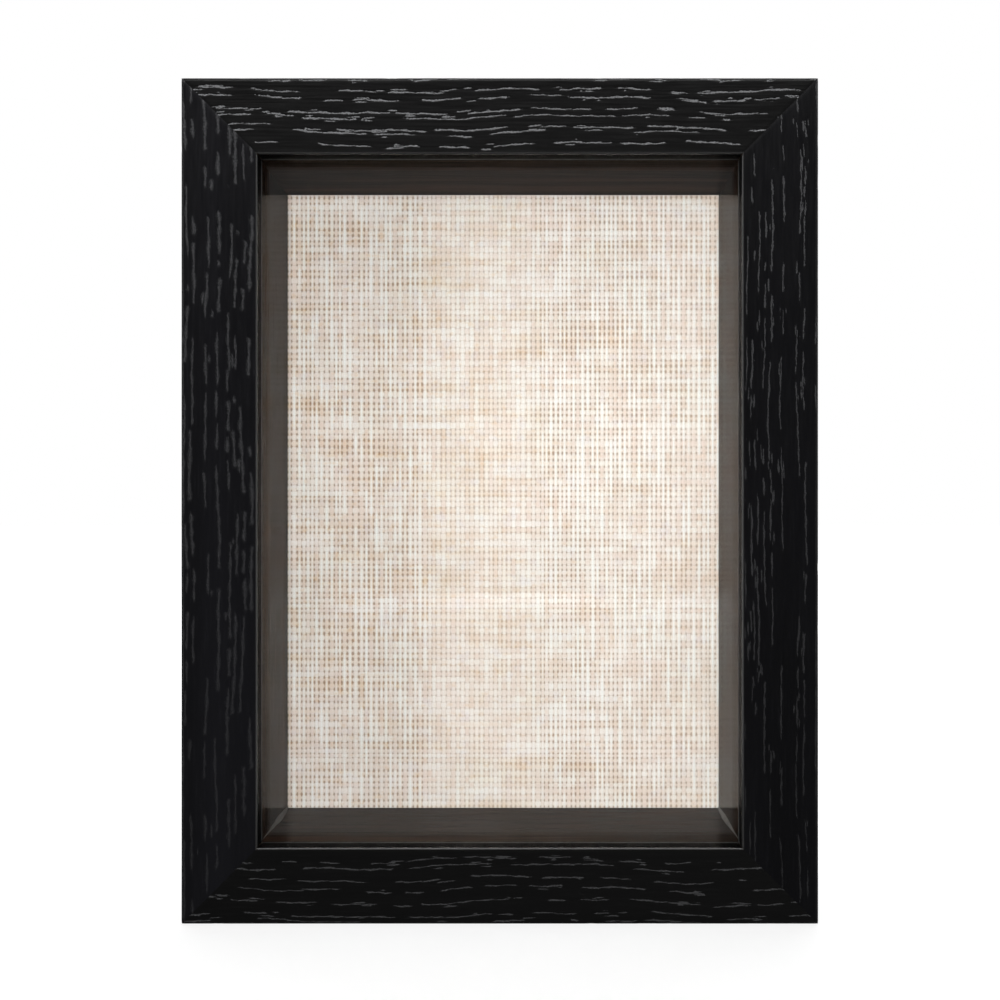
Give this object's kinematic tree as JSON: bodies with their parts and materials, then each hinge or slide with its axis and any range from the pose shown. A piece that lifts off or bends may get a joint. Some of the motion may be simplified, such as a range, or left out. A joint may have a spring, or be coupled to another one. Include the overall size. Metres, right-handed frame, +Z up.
{
  "type": "shadow box",
  "caption": "Deep black wood-grain shadow box with a mitred frame, glass front, spacer-lined display space and a removable linen-covered pinning back held by turn buttons.",
  "frame": {"origin": "on the underside of the bottom rail, at the middle of the frame's width and depth", "axes": "+Z up, -Y out of the glazed front, +X to the right seen from the front; the rear face with the turn buttons and hangers looks along +Y"},
  "size_m": [0.1554, 0.056, 0.2065],
  "materials": {
    "black_wood": "satin black lacquer over open-pore wood grain",
    "black_spacer": "semi-gloss black film on board",
    "glass": "clear float glass",
    "linen": "natural cream linen, plain weave with slubs",
    "pin_board": "soft fibreboard, cut edges",
    "hardboard": "brown hardboard, smooth face",
    "bright_steel": "bright zinc plate",
    "zinc_steel": "zinc plated"
  },
  "bodies": {
    "frame": {"top_rail": "black_wood", "bottom_rail": "black_wood", "left_rail": "black_wood", "right_rail": "black_wood", "mitre_v_nails": "bright_steel", "glass_pane": "glass", "spacer_top": "black_spacer", "spacer_bottom": "black_spacer", "spacer_left": "black_spacer", "spacer_right": "black_spacer", "turn_button_screws": "zinc_steel", "hanger_portrait": "bright_steel", "hanger_landscape": "bright_steel", "hanger_nails": "zinc_steel"},
    "back": {"linen_cover": "linen", "pin_board": "pin_board", "back_panel": "hardboard"},
    "button_upper_left": {"turn_button_upper_left": "bright_steel"},
    "button_upper_right": {"turn_button_upper_right": "bright_steel"},
    "button_lower_left": {"turn_button_lower_left": "bright_steel"},
    "button_lower_right": {"turn_button_lower_right": "bright_steel"}
  },
  "joints": [
    {"name": "back_slide", "type": "slide", "parent": "frame", "child": "back", "axis": [0, 1, 0], "range_m": [0, 0.06]},
    {"name": "turn_upper_left", "type": "hinge", "parent": "frame", "child": "button_upper_left", "pos_m": [-0.07087, 0.0266, 0.15825], "axis": [0, -1, 0], "continuous": true},
    {"name": "turn_upper_right", "type": "hinge", "parent": "frame", "child": "button_upper_right", "pos_m": [0.07087, 0.0266, 0.15825], "axis": [0, 1, 0], "continuous": true},
    {"name": "turn_lower_left", "type": "hinge", "parent": "frame", "child": "button_lower_left", "pos_m": [-0.07087, 0.0266, 0.04825], "axis": [0, -1, 0], "continuous": true},
    {"name": "turn_lower_right", "type": "hinge", "parent": "frame", "child": "button_lower_right", "pos_m": [0.07087, 0.0266, 0.04825], "axis": [0, 1, 0], "continuous": true}
  ]
}
